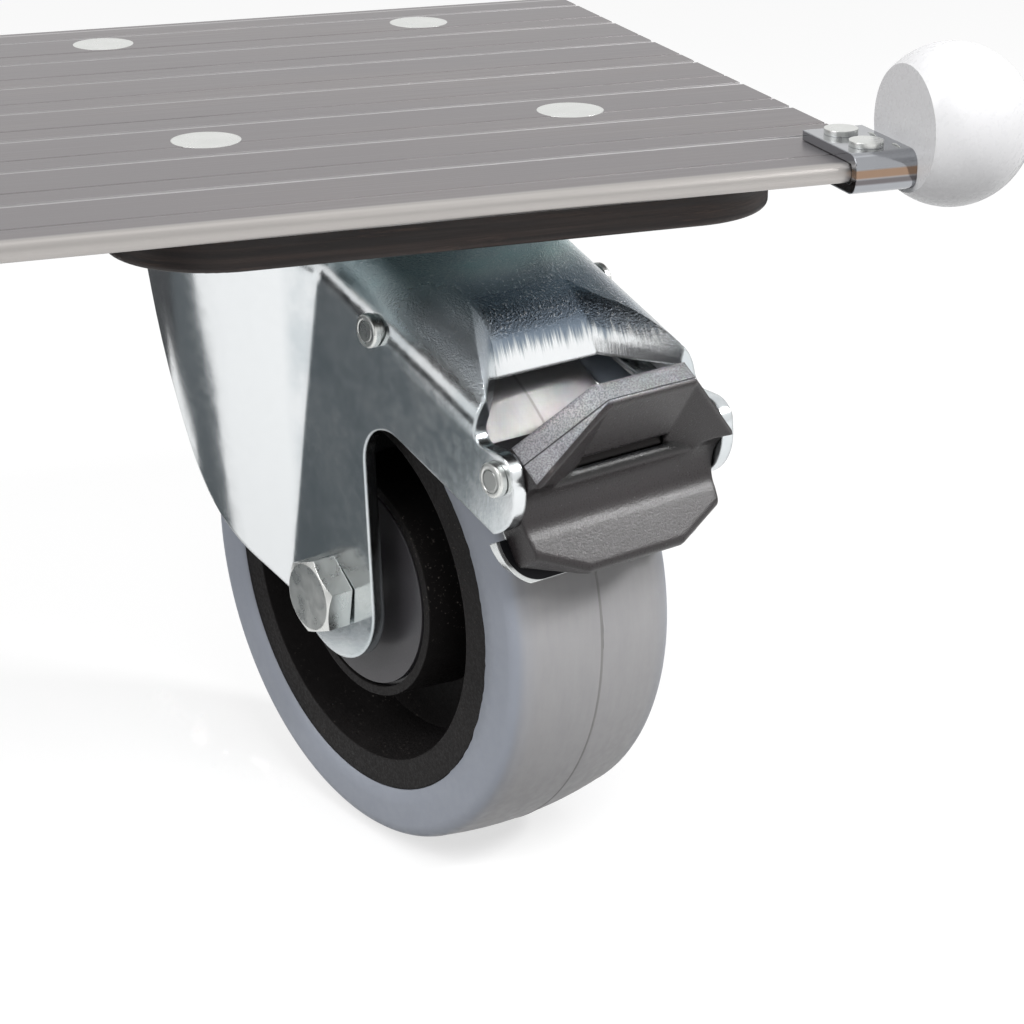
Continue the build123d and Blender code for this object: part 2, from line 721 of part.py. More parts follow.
def pedal_body():
    """Outer form of the pedal cover, with its dished upper face and softened edges."""
    run, down = pedal_slope()
    rim = (pedal_rim_front[0], 0, pedal_rim_front[1])
    body = side_prism(pedal_profile(), pedal_half_width) & pedal_front()
    outward = Plane(origin=rim, x_dir=(0, 1, 0), z_dir=(-down.Z, 0, down.X))
    top = pedal_top_half_width
    upper = [(top, 0), (pedal_half_width, -pedal_diagonal_run), (pedal_half_width, -through)]
    mirrored = [(-y, height) for y, height in reversed(upper)]
    body &= extrude(outward * make_face(Polyline(*upper, *mirrored, close=True)), through, both=True)
    across = Plane(origin=rim, x_dir=(0, 1, 0), z_dir=down)
    rise = through * math.tan(math.radians(pedal_wing_flare_deg))
    trough = Polyline((-top, 0), (top, 0), (top + through, rise), (-top - through, rise), close=True)
    body -= extrude(across * make_face(trough), run)

    def on_ledge(edge):
        middle = edge @ 0.5
        reach = math.dist((middle.X, middle.Z), scoop_centre)
        return abs(middle.Y) < 0.01 and middle.Z > scoop_centre[1] and abs(reach - scoop_radius) < 0.01

    def on_toe(edge):
        middle = edge @ 0.5
        return middle.X > ear_end_x and middle.Z < pedal_lip_front[1] + pedal_low_rise

    def on_rim(edge):
        middle = edge @ 0.5
        return middle.X > ear_end_x and middle.Z > ear_top_z

    body = fillet(body.edges().filter_by(on_ledge), pedal_ledge_round)
    body = fillet(body.edges().filter_by(on_toe), pedal_toe_round)
    return fillet(body.edges().filter_by(on_rim), pedal_edge_round)


def make_pedal_cover():
    run, down = pedal_slope()
    rim = (pedal_rim_front[0], 0, pedal_rim_front[1])
    slot_frame = Plane(origin=rim, x_dir=(0, 1, 0), z_dir=down).offset(run - slot_height)
    cover = pedal_body()
    cover -= extrude(slot_frame * Rectangle(2 * pedal_top_half_width, 2 * slot_depth), slot_height)
    cover -= along_axle(pin_diameter / 2 + pin_gap, -through, through, pivot_x, pivot_z)
    slot = lever_cheek(cheek_slot_clearance) & block(-through, through, cheek_half_gap - cheek_slot_clearance,
                                                     cheek_outer + cheek_slot_clearance, -through, through)
    return cover - slot - mirror(slot, Plane.XZ) - screw_bores()


def row_z(z):
    """Height in the row frame of a height in the castor's frame."""
    return z - axle_depth


def swivel_race(circle, z):
    """Groove for a ring of swivel balls."""
    return torus(circle / 2, swivel_ball_diameter / 2 + swivel_clearance, row_z(z))


def swivel_balls(circle, z, count):
    ball = Pos(circle / 2, 0, row_z(z)) * Sphere(swivel_ball_diameter / 2)
    return circle_of(ball, count)


def make_top_plate():
    outline = RectangleRounded(plate_width, plate_length, plate_corner)
    plate = extrude(Pos(0, 0, plate_low_row) * outline, plate_thickness)
    for x, y in bolt_places():
        plate -= upright(plate_hole_diameter / 2, -through, through, x, y)
    plate -= swivel_race(upper_ball_circle, upper_ball_z)
    plate -= upright(king_pin_diameter / 2 + seat_clearance, -through, through)
    head = king_head_diameter / 2 + seat_clearance
    return plate - upright(head, board_low_z - king_head_height - seat_clearance, 0)


def make_king_pin():
    cup_low = row_z(cup_top_z - cup_thickness)
    top = board_low_z - seat_clearance
    pin = upright(king_pin_diameter / 2, cup_low - king_nut_height - plate_bolt_end, top)
    return pin + upright(king_head_diameter / 2, board_low_z - king_head_height, top)


def make_lower_cup():
    top = row_z(cup_top_z)
    cup = upright(cup_diameter / 2, top - cup_thickness, top)
    cup -= swivel_race(lower_ball_circle, lower_ball_z)
    return cup - upright(king_pin_diameter / 2 + seat_clearance, -through, through)


def make_king_nut():
    nut = hexagon_prism(king_nut_flats, king_nut_height)
    nut -= upright(king_pin_diameter / 2 + seat_clearance, -through, through)
    return Pos(0, 0, row_z(cup_top_z - cup_thickness)) * Rot(180, 0, 0) * nut


def make_dust_seal():
    low = row_z(crown_top_z) + seal_gap
    ring = upright(seal_outside / 2, low, plate_low_row)
    return ring - upright(seal_outside / 2 - seal_wall, low, plate_low_row)


def countersunk(radius, head_radius, depth, length):
    """Countersunk screw along Z with its flat head on Z = 0."""
    outline = Polyline((0, 0), (head_radius, 0), (radius, -depth), (radius, -length), (0, -length),
                       close=True)
    return revolve(Plane.XZ * make_face(outline), Axis.Z)


def make_plate_bolts(grow=0.0):
    length = -plate_low_row + plate_washer_thickness + plate_nut_height + plate_bolt_end
    bolt = countersunk(plate_bolt_diameter / 2 + grow, countersink_diameter / 2 + grow, countersink_depth,
                       length)
    return [Pos(x, y, 0) * bolt for x, y in bolt_places()]


def make_plate_washers():
    low = plate_low_row - plate_washer_thickness
    washer = upright(plate_washer_diameter / 2, low, plate_low_row)
    washer -= upright(plate_bolt_diameter / 2 + seat_clearance, low, plate_low_row)
    return [Pos(x, y, 0) * washer for x, y in bolt_places()]


def make_plate_nuts():
    nut = hexagon_prism(plate_nut_flats, plate_nut_height)
    nut -= upright(plate_bolt_diameter / 2 + seat_clearance, -through, through)
    top = plate_low_row - plate_washer_thickness
    return [Pos(x, y, top) * Rot(180, 0, 0) * nut for x, y in bolt_places()]


def make_mounting_board():
    length = board_back_y - board_front_y
    middle = (board_back_y + board_front_y) / 2
    outline = RectangleRounded(2 * board_half_width, length, board_corner)
    board = extrude(Pos(0, middle, board_low_z) * outline, board_thickness)
    board = fillet(board.faces().sort_by(Axis.Z)[0].edges(), board_edge_round)
    for bolt in make_plate_bolts(seat_clearance):
        board -= bolt
    return board


def make_deck_plank():
    deck = block(deck_left_x, deck_right_x, deck_front_y, deck_back_y, -deck_thickness, 0)
    nose = deck.faces().sort_by(Axis.Y)[0].edges().filter_by(Axis.X)
    deck = fillet(nose, min(deck_nose, deck_thickness * nose_share))
    count = int((deck_back_y - deck_front_y) / groove_pitch)
    for index in range(count):
        fine_y = deck_front_y + groove_pitch * index + fine_groove_offset
        wide_y = deck_front_y + groove_pitch * (index + 1)
        for y, radius in ((fine_y, fine_groove_radius), (wide_y, groove_radius)):
            deck -= Pos(0, y, 0) * Rot(0, 90, 0) * Cylinder(radius, 2 * through)
    for bolt in make_plate_bolts(seat_clearance):
        deck -= bolt
    for y in clip_rivet_y:
        deck -= upright(clip_rivet_diameter / 2 + seat_clearance, -through, through, clip_rivet_x, y)
    return deck


def make_bumper_clip():
    """Sheet clip folded round the deck's front corner, closed by an end plate."""
    gap = clip_clearance
    wall = clip_clearance + clip_thickness
    front = deck_front_y - wall
    clip = block(clip_left_x, deck_right_x + wall, front, front + clip_depth, -deck_thickness - wall, wall)
    folds = clip.faces().sort_by(Axis.Y)[0].edges().filter_by(Axis.X)
    clip = fillet(folds, clip_bend)
    pocket = block(clip_left_x - wall, deck_right_x + gap, deck_front_y - gap, through,
                   -deck_thickness - gap, gap)
    inner_folds = pocket.faces().sort_by(Axis.Y)[0].edges().filter_by(Axis.X)
    clip -= fillet(inner_folds, clip_bend - clip_thickness)
    for y in clip_rivet_y:
        clip -= upright(clip_rivet_diameter / 2 + seat_clearance, 0, through, clip_rivet_x, y)
    for screw in make_bumper_screws(seat_clearance):
        clip -= screw
    return clip


def make_clip_rivets():
    top = clip_clearance + clip_thickness
    rivet = upright(clip_rivet_diameter / 2, -deck_thickness, top)
    rivet += upright(clip_rivet_head / 2, top, top + clip_rivet_head_height)
    return [Pos(clip_rivet_x, y, 0) * rivet for y in clip_rivet_y]


def make_bumper_screws(grow=0.0):
    screw = countersunk(bumper_screw_diameter / 2 + grow, bumper_screw_head / 2 + grow, clip_thickness,
                        bumper_screw_length + grow)
    x = deck_right_x + clip_clearance
    return [Pos(x, y, -deck_thickness / 2) * Rot(0, -90, 0) * screw for y in bumper_screw_y]


def make_corner_bumper():
    ball = Pos(bumper_centre_x, bumper_centre_y, bumper_centre_height) * Sphere(bumper_radius)
    face_x = deck_right_x + clip_clearance + clip_thickness
    ball &= block(face_x, through, -through, through, -through, through)
    for screw in make_bumper_screws(seat_clearance):
        ball -= screw
    return ball


def as_list(pieces):
    return pieces if isinstance(pieces, list) else [pieces]


bearing_seat = bearing_outside / 2
bearing_hole = bearing_bore / 2
ring_outer_hole = (bearing_pitch_diameter + bearing_ring_gap) / 2
ring_inner_outside = (bearing_pitch_diameter - bearing_ring_gap) / 2

castor_nodes = {
    "tyre": make_tyre(),
    "rim": make_rim(),
    "dust_caps": make_dust_caps(),
    "bearing_outer_rings": make_bearing_rings(ring_outer_hole, bearing_seat),
    "bearing_balls": make_bearing_balls(),
    "bearing_inner_rings": make_bearing_rings(bearing_hole, ring_inner_outside),
    "axle_sleeve": make_axle_sleeve(),
    "axle_bolt": make_axle_bolt(),
    "axle_nut": make_axle_nut(),
    "axle_washer": make_axle_washer(),
    "fork": make_fork(),
    "brake_pin": make_pin(pivot_x, pivot_z),
    "spring_pin": make_pin(spring_pin_x, spring_pin_z),
    "spring_spacer": make_spring_spacer(),
    "brake_spring": make_brake_spring(),
    "pedal_lever": make_pedal_lever(),
    "pedal_cover": make_pedal_cover(),
    "cover_screws": make_cover_screws(),
}
deck_nodes = {
    "top_plate": make_top_plate(),
    "king_pin": make_king_pin(),
    "king_nut": make_king_nut(),
    "lower_cup": make_lower_cup(),
    "upper_balls": swivel_balls(upper_ball_circle, upper_ball_z, upper_ball_count),
    "lower_balls": swivel_balls(lower_ball_circle, lower_ball_z, lower_ball_count),
    "dust_seal": make_dust_seal(),
    "plate_bolts": make_plate_bolts(),
    "plate_washers": make_plate_washers(),
    "plate_nuts": make_plate_nuts(),
    "mounting_board": make_mounting_board(),
    "deck_plank": make_deck_plank(),
    "bumper_clip": make_bumper_clip(),
    "clip_rivets": make_clip_rivets(),
    "corner_bumper": make_corner_bumper(),
    "bumper_screws": make_bumper_screws(),
}

os.makedirs("parts", exist_ok=True)
for name, pieces in castor_nodes.items():
    placed = [castor_to_row * piece for piece in as_list(pieces)]
    export_step(Compound([solid for piece in placed for solid in piece.solids()]), f"parts/{name}.step")
for name, pieces in deck_nodes.items():
    placed = as_list(pieces)
    export_step(Compound([solid for piece in placed for solid in piece.solids()]), f"parts/{name}.step")
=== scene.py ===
import math

import bmesh
import bpy
from mathutils import Matrix, Vector, noise


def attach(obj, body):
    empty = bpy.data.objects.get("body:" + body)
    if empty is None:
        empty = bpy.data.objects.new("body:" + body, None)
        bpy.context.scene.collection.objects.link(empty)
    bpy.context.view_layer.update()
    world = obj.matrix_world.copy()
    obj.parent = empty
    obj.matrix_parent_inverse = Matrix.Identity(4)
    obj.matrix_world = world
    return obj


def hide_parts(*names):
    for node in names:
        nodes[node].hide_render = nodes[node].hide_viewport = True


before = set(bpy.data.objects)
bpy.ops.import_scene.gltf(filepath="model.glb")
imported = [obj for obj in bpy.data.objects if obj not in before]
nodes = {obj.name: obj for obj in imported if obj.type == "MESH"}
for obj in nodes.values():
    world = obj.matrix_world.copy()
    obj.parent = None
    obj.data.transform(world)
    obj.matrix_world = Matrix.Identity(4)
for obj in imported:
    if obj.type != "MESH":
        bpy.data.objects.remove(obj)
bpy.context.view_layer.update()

# Castor's own frame, in metres: origin at the wheel's centre, X towards the pedal, Y along the axle, Z up
AXLE_DEPTH = 0.107
SWIVEL_OFFSET = 0.040
SWIVEL_ANGLE = math.radians(-72.5)
TO_ROW = (Matrix.Translation((0, 0, -AXLE_DEPTH)) @ Matrix.Rotation(SWIVEL_ANGLE, 4, "Z")
          @ Matrix.Translation((SWIVEL_OFFSET, 0, 0)))
WHEEL_CENTRE = TO_ROW @ Vector((0, 0, 0))

# Tyre
WHEEL_RADIUS = 0.0625
WHEEL_HALF = 0.02165
TYRE_CROWN_DROP = 0.0017
TYRE_SHOULDER = 0.0035
TYRE_BORE = 0.04877
TYRE_RIDGE = 0.05157
TYRE_RIDGE_HALF = 0.01152
TYRE_FACE_FALL = 0.00035
TYRE_FACE_FOLD = 0.0040
TYRE_LIP_RISE = 0.0003
TYRE_LIP_DEPTH = 0.0006
TREAD_PLACES = (0.001, 0.003, 0.006, 0.009, 0.012, 0.015, 0.017)
SHOULDER_STEPS = 8
TYRE_STEPS = 288
TREAD_START = (0.0594, 0.0612)

# Ragged inner edge of the tyre: depth, and the scale of its coarse and fine waves
RAGGED_DEPTH = 0.00035
RAGGED_SCALE = 14
FINE_RAGGED_SCALE = 4.1
FINE_RAGGED_SHARE = 0.6

# Mould seam on the tread, its dark line and the sliver of flash beside it
SEAM_HEIGHT = 0.00014
SEAM_HALF = 0.00022
SEAM_LINE_HALF = 0.00018
SEAM_LINE_SOFT = 0.00032
SEAM_LINE_START = (0.0600, 0.0615)
FLASH_DEG = 4.0
FLASH_HALF_LENGTH = 0.0042
FLASH_HALF_WIDTH = 0.00055
FLASH_HEIGHT = 0.00028
FLASH_OFFSET = 0.0004
FLASH_SINK = 0.00005
FLASH_WAVE = 0.25
FLASH_WAVES = 7
FLASH_STEPS = 24
FLASH_SIDES = 8
SAME_POINT = 1e-7

# Places on the fork where one tone gives way to the next, in the castor's frame: paler cheeks, painted
# shade and a painted bright reflection on the bend, a painted reflection and a painted highlight on the
# hood
CHEEK_LEAN = -0.11
CHEEK_EDGE = (-0.0125, -0.0165)
BEND_NEAR = (-0.022, -0.008)
BEND_FAR = (0.022, 0.026)
BEND_BACK = (0.022, 0.033)
BEND_FRONT = (0.033, 0.038)
SHADE_HEIGHT = (0.0630, 0.0660)
SHADE_FAR = (0.012, 0.022)
FOOT_REFLECTION_HEIGHT = (0.0645, 0.0620)
STREAK_REACH = 0.010
HOOD_LEAN = 0.36
HOOD_HEIGHT = (0.0795, 0.0835)
SHEEN_END = (0.032, 0.020)
FROST_START = (0.022, 0.038)
FROST_SIDE = (-0.010, -0.018)

# Pins through the fork, in the castor's side view: centres, headed ring, and the fork's inside, where the
# pins are painted in shade
BRAKE_PIN = (0.0639, 0.047)
SPRING_PIN = (0.022, 0.0677)
PIN_RING = 0.0024
PIN_RING_HALF = 0.0001
PIN_RING_SOFT = 0.0003
PIN_FACE_EDGE = (0.0022, 0.0026)
FORK_INSIDE = (0.0225, 0.0235)

# Brake shoe's black face, with the bright border round it
SHOE_HALF = 0.02802
SHOE_LOW = 0.02203
SHOE_CORNER = 0.010
SHOE_BORDER = (0.0010, 0.0008)
SHOE_FACE = (0.0690, 0.0692)

# Pedal's upper face, parting line and slot, in the castor's side view; the slot is painted in shade
PEDAL_RIM = (0.0779, 0.0628)
PEDAL_NORMAL = (0.8374, -0.5466)
PARTING_DEPTH = 0.0012
PARTING_HALF = 0.00005
PARTING_SOFT = 0.00016
SLOT_Z = 0.0455
SLOT_HALF = 0.0010
SLOT_SOFT = 0.0006
SLOT_END = (0.0680, 0.0690)

# Deck, board and clip, in the row's frame, with the places of the deck's painted highlights and the clip's
# painted reflection lines
DECK_FRONT = -0.1165
DECK_NOSE = (DECK_FRONT + 0.0015, DECK_FRONT + 0.0032)
GROOVE_PITCH = 0.0253
GROOVE_EDGE = (0.0006, 0.0012)
FINE_GROOVE = 0.0089
FINE_GROOVE_HALF = 0.0003
FINE_GROOVE_SOFT = 0.0003
BOARD_UNDERSIDE = (-0.01195, -0.0115)
# Clip's painted reflection lines, a dark one and a warm one
CLIP_LINE_SOFT = 0.0005
CLIP_DARK_Z = -0.0033
CLIP_DARK_HALF = 0.0003
CLIP_WARM_Z = -0.0017
CLIP_WARM_HALF = 0.0006

# Parts of a noise's range that carry clouds and grain
CLOUD_SPREAD = (0.35, 0.65)
GRAIN_SPREAD = (0.3, 0.7)

# Floor, and the dark cards that only reflections show
FLOOR_Z = -AXLE_DEPTH - WHEEL_RADIUS
FLOOR_HALF = 40.0
FLOOR_CORNERS = [(FLOOR_HALF * x, FLOOR_HALF * y) for x, y in ((-1, -1), (1, -1), (1, 1), (-1, 1))]
FLOOR_TONE = (0.36, 0.36, 0.36, 1)
GLOW_REACH = (0.5, 3.0)
FLOOR_GLOW = (0.66, 0.90)
CARD_LIFT = 0.001
CARD_Z = FLOOR_Z + CARD_LIFT
NEAR_CARD = ((-0.15, 0.20), (-0.30, 0.20), (-2.5, 1.10), (-2.5, 0.90), (-0.26, 0.072), (-0.215, 0.036),
             (-0.17, 0.032), (-0.14, 0.022), (-0.09, 0.0), (-0.07, 0.10), (-0.15, 0.13))
FAR_CARD = ((-0.15, 0.20), (-0.15, 0.25), (0.4, 0.25), (0.4, 2.0), (-2.5, 2.0), (-2.5, 1.10), (-0.30, 0.20))
WEST_CARD = ((-0.24, -0.16), (-0.60, -0.10), (-1.6, -0.45), (-1.3, -1.3), (-0.34, -0.52))
EAST_CARD = [(-x, -y) for x, y in WEST_CARD]
LEFT_CARD = ((-1.6, 0.30), (-1.6, 2.0))
LEFT_CARD_TOP = 0.15
CAMERA_CARD = ((-1.05, -0.75), (-0.22, -1.25))
CAMERA_CARD_HEIGHT = (0.25, 1.10)
DARK_CARD = (0.028, 0.030, 0.033, 1)
NEAR_CARD_TONE = (0.080, 0.092, 0.100, 1)
CARD_ROUGHNESS = 0.9

# Light and camera: pitch and yaw in degrees, lens and sensor in millimetres
AMBIENT = 0.35
MIDDLE = (0.01, -0.04, -0.08)
NOTCH = (0.018, -0.077, -0.058)
SNOOT_SPREAD = math.radians(2.5)
CAMERA_PLACE = (-0.1538, -0.5468, 0.1201)
CAMERA_PITCH = 21.887
CAMERA_YAW = 20.06
CAMERA_LENS = 87.89
SENSOR_WIDTH = 36.0


class ShaderTree:
    """Shader nodes of a material or of the world."""

    def __init__(self, owner):
        owner.use_nodes = True
        self.tree = owner.node_tree

    def node(self, kind, **settings):
        made = self.tree.nodes.new("ShaderNode" + kind)
        for key, value in settings.items():
            setattr(made, key, value)
        return made

    def feed(self, socket, value):
        """Links a node's output to a socket, or sets the socket's constant."""
        if isinstance(value, bpy.types.NodeSocket):
            self.tree.links.new(value, socket)
        else:
            socket.default_value = value

    def math(self, operation, *values):
        made = self.node("Math", operation=operation)
        for socket, value in zip(made.inputs, values):
            self.feed(socket, value)
        return made.outputs[0]

    def plus(self, first, second):
        return self.math("ADD", first, second)

    def minus(self, first, second):
        return self.math("SUBTRACT", first, second)

    def times(self, first, *others):
        for other in others:
            first = self.math("MULTIPLY", first, other)
        return first

    def span(self, value, low, high, to_low=0.0, to_high=1.0, curve="SMOOTHSTEP"):
        """Value carried from one range to another and clamped."""
        made = self.node("MapRange", interpolation_type=curve)
        for socket, number in zip(made.inputs, (value, low, high, to_low, to_high)):
            self.feed(socket, number)
        return made.outputs[0]

    def seen_directly(self):
        """1 for rays from the camera, mirror-like reflection and glass."""
        path = self.node("LightPath").outputs
        seen = self.math("MAXIMUM", path["Is Camera Ray"], path["Is Glossy Ray"])
        return self.math("MAXIMUM", seen, path["Is Transmission Ray"])


class Look(ShaderTree):
    """A procedural material round one Principled shader, drawn in the row's or the castor's frame."""

    def __init__(self, name, castor=False, metallic=0.0, specular=0.5):
        self.slot = name
        self.material = bpy.data.materials.new(name + "_look")
        super().__init__(self.material)
        self.tree.nodes.clear()
        self.shader = self.node("BsdfPrincipled")
        self.feed(self.node("OutputMaterial").inputs["Surface"], self.shader.outputs["BSDF"])
        self.feed(self.shader.inputs["Metallic"], metallic)
        self.feed(self.shader.inputs["Specular IOR Level"], specular)
        self.place = self.node("TexCoord").outputs["Object"]
        if castor:
            mapping = self.node("Mapping", vector_type="TEXTURE")
            self.feed(mapping.inputs["Location"], WHEEL_CENTRE)
            self.feed(mapping.inputs["Rotation"], (0, 0, SWIVEL_ANGLE))
            self.feed(mapping.inputs["Vector"], self.place)
            self.place = mapping.outputs["Vector"]
        self.normal = None

    def split(self, vector):
        made = self.node("SeparateXYZ")
        self.feed(made.inputs[0], vector)
        return made.outputs

    def axes(self):
        return self.split(self.place)

    def facing(self):
        """Direction that a face looks in, in the castor's frame."""
        turned = self.node("Mapping", vector_type="NORMAL")
        self.feed(turned.inputs["Rotation"], (0, 0, -SWIVEL_ANGLE))
        self.feed(turned.inputs["Vector"], self.node("TexCoord").outputs["Normal"])
        return self.split(turned.outputs[0])

    def noise(self, scale, detail=4.0, rough=0.55, stretch=(1, 1, 1)):
        mapping = self.node("Mapping")
        self.feed(mapping.inputs["Scale"], stretch)
        self.feed(mapping.inputs["Vector"], self.place)
        made = self.node("TexNoise")
        self.feed(made.inputs["Vector"], mapping.outputs[0])
        for key, value in (("Scale", scale), ("Detail", detail), ("Roughness", rough)):
            self.feed(made.inputs[key], value)
        return made.outputs[0]

    def mix(self, factor, first, second):
        """Mix of two colours; a colour may be three numbers or a node's output."""
        made = self.node("Mix", data_type="RGBA")
        self.feed(made.inputs[0], factor)
        # The node's colour sockets come after those for numbers and vectors
        for socket, colour in zip(made.inputs[6:8], (first, second)):
            self.feed(socket, colour if isinstance(colour, bpy.types.NodeSocket) else (*colour, 1))
        return made.outputs[2]

    def near(self, value, place, half, soft):
        """1 where the value is within half of the place, 0 away from it."""
        gap = self.math("ABSOLUTE", self.minus(value, place))
        return self.span(gap, half, half + soft, 1.0, 0.0)

    def radius_from(self, x, z, centre=(0.0, 0.0)):
        dx = self.minus(x, centre[0])
        dz = self.minus(z, centre[1])
        return self.math("SQRT", self.plus(self.times(dx, dx), self.times(dz, dz)))

    def colour(self, value):
        self.feed(self.shader.inputs["Base Color"], value)

    def roughness(self, value):
        self.feed(self.shader.inputs["Roughness"], value)

    def rough_grain(self, grain, low, high):
        """Roughness that follows a noise between two values."""
        self.roughness(self.span(grain, *GRAIN_SPREAD, low, high))

    def soften(self, radius):
        """Rounds the edges' shading."""
        made = self.node("Bevel", samples=6)
        self.feed(made.inputs["Radius"], radius)
        self.turn_normal(made.outputs[0])

    def bump(self, height, distance, strength):
        made = self.node("Bump")
        self.feed(made.inputs["Strength"], strength)
        self.feed(made.inputs["Distance"], distance)
        self.feed(made.inputs["Height"], height)
        if self.normal:
            self.feed(made.inputs["Normal"], self.normal)
        self.turn_normal(made.outputs[0])

    def turn_normal(self, normal):
        self.normal = normal
        self.feed(self.shader.inputs["Normal"], normal)


def zinc_sheet():
    """Bright zinc on pressed sheet: faint blue-grey clouds, cheeks painted paler as a painted reflection,
    frosted hood with a painted greenish reflection and a painted highlight, and on the bend painted shade
    and a painted bright reflection parted along drawn streaks.
    """
    look = Look("zinc_sheet", castor=True, metallic=1.0)
    x, y, z = look.axes()
    cloud = look.span(look.noise(48, detail=5), *CLOUD_SPREAD)
    tone = look.mix(cloud, (0.56, 0.60, 0.62), (0.72, 0.74, 0.75))
    tint = look.span(look.noise(16, detail=2), 0.45, 0.75, 0.0, 0.35)
    tone = look.mix(tint, tone, (0.52, 0.60, 0.62))
    # Cheeks painted paler than the rest of the sheet: a painted brighter reflection
    cheek = look.span(look.plus(x, look.times(z, CHEEK_LEAN)), *CHEEK_EDGE)
    tone = look.mix(cheek, tone, (0.75, 0.77, 0.78))

    # Bend above the notch: painted shade at its top, a painted bright reflection at its foot, the two
    # parted along drawn streaks
    streak = look.noise(1500, detail=5, rough=0.65, stretch=(0.04, 1, 0.04))
    drawn = look.plus(z, look.times(look.minus(streak, 0.5), STREAK_REACH))
    bend = look.times(look.span(y, *BEND_NEAR), look.span(y, *BEND_FAR, 1.0, 0.0))
    shade = look.times(look.span(x, *BEND_BACK), look.span(drawn, *SHADE_HEIGHT))
    shade = look.times(shade, look.span(y, *SHADE_FAR, 1.0, 0.65), bend)
    tone = look.mix(shade, tone, (0.21, 0.26, 0.32))
    front = look.times(bend, look.span(x, *BEND_FRONT))
    painted_foot_reflection = look.times(front, look.span(drawn, *FOOT_REFLECTION_HEIGHT))
    tone = look.mix(painted_foot_reflection, tone, (0.93, 0.95, 0.96))

    # Hood: a painted greenish reflection in patches, frosted roughness towards the near end with a paler
    # tone there that is a painted highlight, and sparkling grain
    hood = look.span(look.plus(z, look.times(x, HOOD_LEAN)), *HOOD_HEIGHT)
    reflection_patches = look.span(look.noise(55, detail=3, stretch=(1, 0.5, 1)), 0.42, 0.60, 0.2, 0.9)
    painted_teal_reflection = look.times(hood, reflection_patches, look.span(x, *SHEEN_END))
    tone = look.mix(painted_teal_reflection, tone, (0.52, 0.68, 0.69))
    # Frosted roughness towards the near end of the hood, and a paler tone there that is a painted highlight
    frost_and_highlight = look.times(hood, look.span(x, *FROST_START), look.span(y, *FROST_SIDE))
    tone = look.mix(look.times(frost_and_highlight, 0.7), tone, (0.80, 0.86, 0.92))
    grain = look.noise(1500, detail=3, rough=0.7)
    sparkle = look.times(hood, look.span(grain, 0.56, 0.70, 0.0, 0.9))
    look.colour(look.mix(sparkle, tone, (0.92, 0.94, 0.97)))

    rough = look.span(look.noise(420, detail=6), *GRAIN_SPREAD, 0.15, 0.21)
    rough = look.plus(rough, look.times(hood, 0.06))
    look.roughness(look.plus(rough, look.times(frost_and_highlight, 0.34)))
    look.soften(0.0009)
    look.bump(look.noise(26, detail=2), 0.0006, 0.14)
    hood_share = look.plus(look.times(hood, 0.96), 0.04)
    look.bump(look.times(grain, hood_share), 0.0003, 0.9)
    look.bump(look.times(streak, front), 0.00008, 0.8)
    look.bump(look.noise(700, detail=2, stretch=(1, 1, 0.06)), 0.00001, 0.4)
    return look


def zinc_fastener(name="zinc_fastener", pin=None):
    """Zinc on turned and headed pieces; a pin's centre adds its headed ring, a darker face inside the ring,
    and painted shade along its length inside the fork.
    """
    look = Look(name, castor=True, metallic=1.0)
    zinc = look.mix(look.noise(160, detail=2), (0.62, 0.63, 0.61), (0.72, 0.73, 0.71))
    look.rough_grain(look.noise(300, detail=2), 0.26, 0.34)
    look.soften(0.0003)
    if pin:
        x, y, z = look.axes()
        radius = look.radius_from(x, z, pin)
        groove = look.near(radius, PIN_RING, PIN_RING_HALF, PIN_RING_SOFT)
        look.bump(look.minus(1.0, groove), 0.0003, 1.0)
        zinc = look.mix(look.span(radius, *PIN_FACE_EDGE), (0.40, 0.41, 0.40), zinc)
        # Length of the pin inside the fork painted near black: painted shade between the plates
        inside = look.span(look.math("ABSOLUTE", y), *FORK_INSIDE, 1.0, 0.0)
        zinc = look.mix(inside, zinc, (0.015, 0.014, 0.014))
    look.colour(zinc)
    return look


def plate_steel():
    """Dull, dark zinc on the plate and nuts under the board."""
    look = Look("plate_steel", metallic=1.0)
    cloud = look.span(look.noise(45, detail=4), *CLOUD_SPREAD)
    look.colour(look.mix(cloud, (0.42, 0.49, 0.505), (0.53, 0.59, 0.605)))
    look.rough_grain(look.noise(500), 0.34, 0.46)
    look.soften(0.0003)
    look.bump(look.noise(1600, detail=3), 0.00003, 0.5)
    return look


def shoe_steel():
    """Zinc on the brake lever, with the black face that its shoe turns outward."""
    look = Look("shoe_steel", castor=True, metallic=1.0)
    x, y, z = look.axes()
    over_side = look.minus(look.math("ABSOLUTE", y), SHOE_HALF - SHOE_CORNER)
    over_side = look.math("MAXIMUM", over_side, 0.0)
    over_end = look.math("MAXIMUM", look.minus(SHOE_LOW + SHOE_CORNER, z), 0.0)
    border_in, border_out = (SHOE_CORNER - width for width in SHOE_BORDER)
    within = look.span(look.radius_from(over_side, over_end), border_in, border_out, 1.0, 0.0)
    face = look.times(look.span(look.radius_from(x, z), *SHOE_FACE), within)
    zinc = look.mix(look.noise(160, detail=5), (0.62, 0.64, 0.64), (0.74, 0.76, 0.75))
    look.colour(look.mix(face, zinc, (0.02, 0.02, 0.022)))
    look.roughness(look.plus(look.times(face, 0.3), 0.24))
    look.soften(0.0003)
    look.bump(look.noise(2200, detail=3), 0.00002, 0.5)
    return look


def bearing_steel():
    """Bright ground steel."""
    look = Look("bearing_steel", metallic=1.0)
    look.colour(look.mix(look.noise(300), (0.52, 0.52, 0.53), (0.68, 0.68, 0.68)))
    look.rough_grain(look.noise(900), 0.12, 0.24)
    look.bump(look.noise(3000), 0.00001, 0.4)
    return look


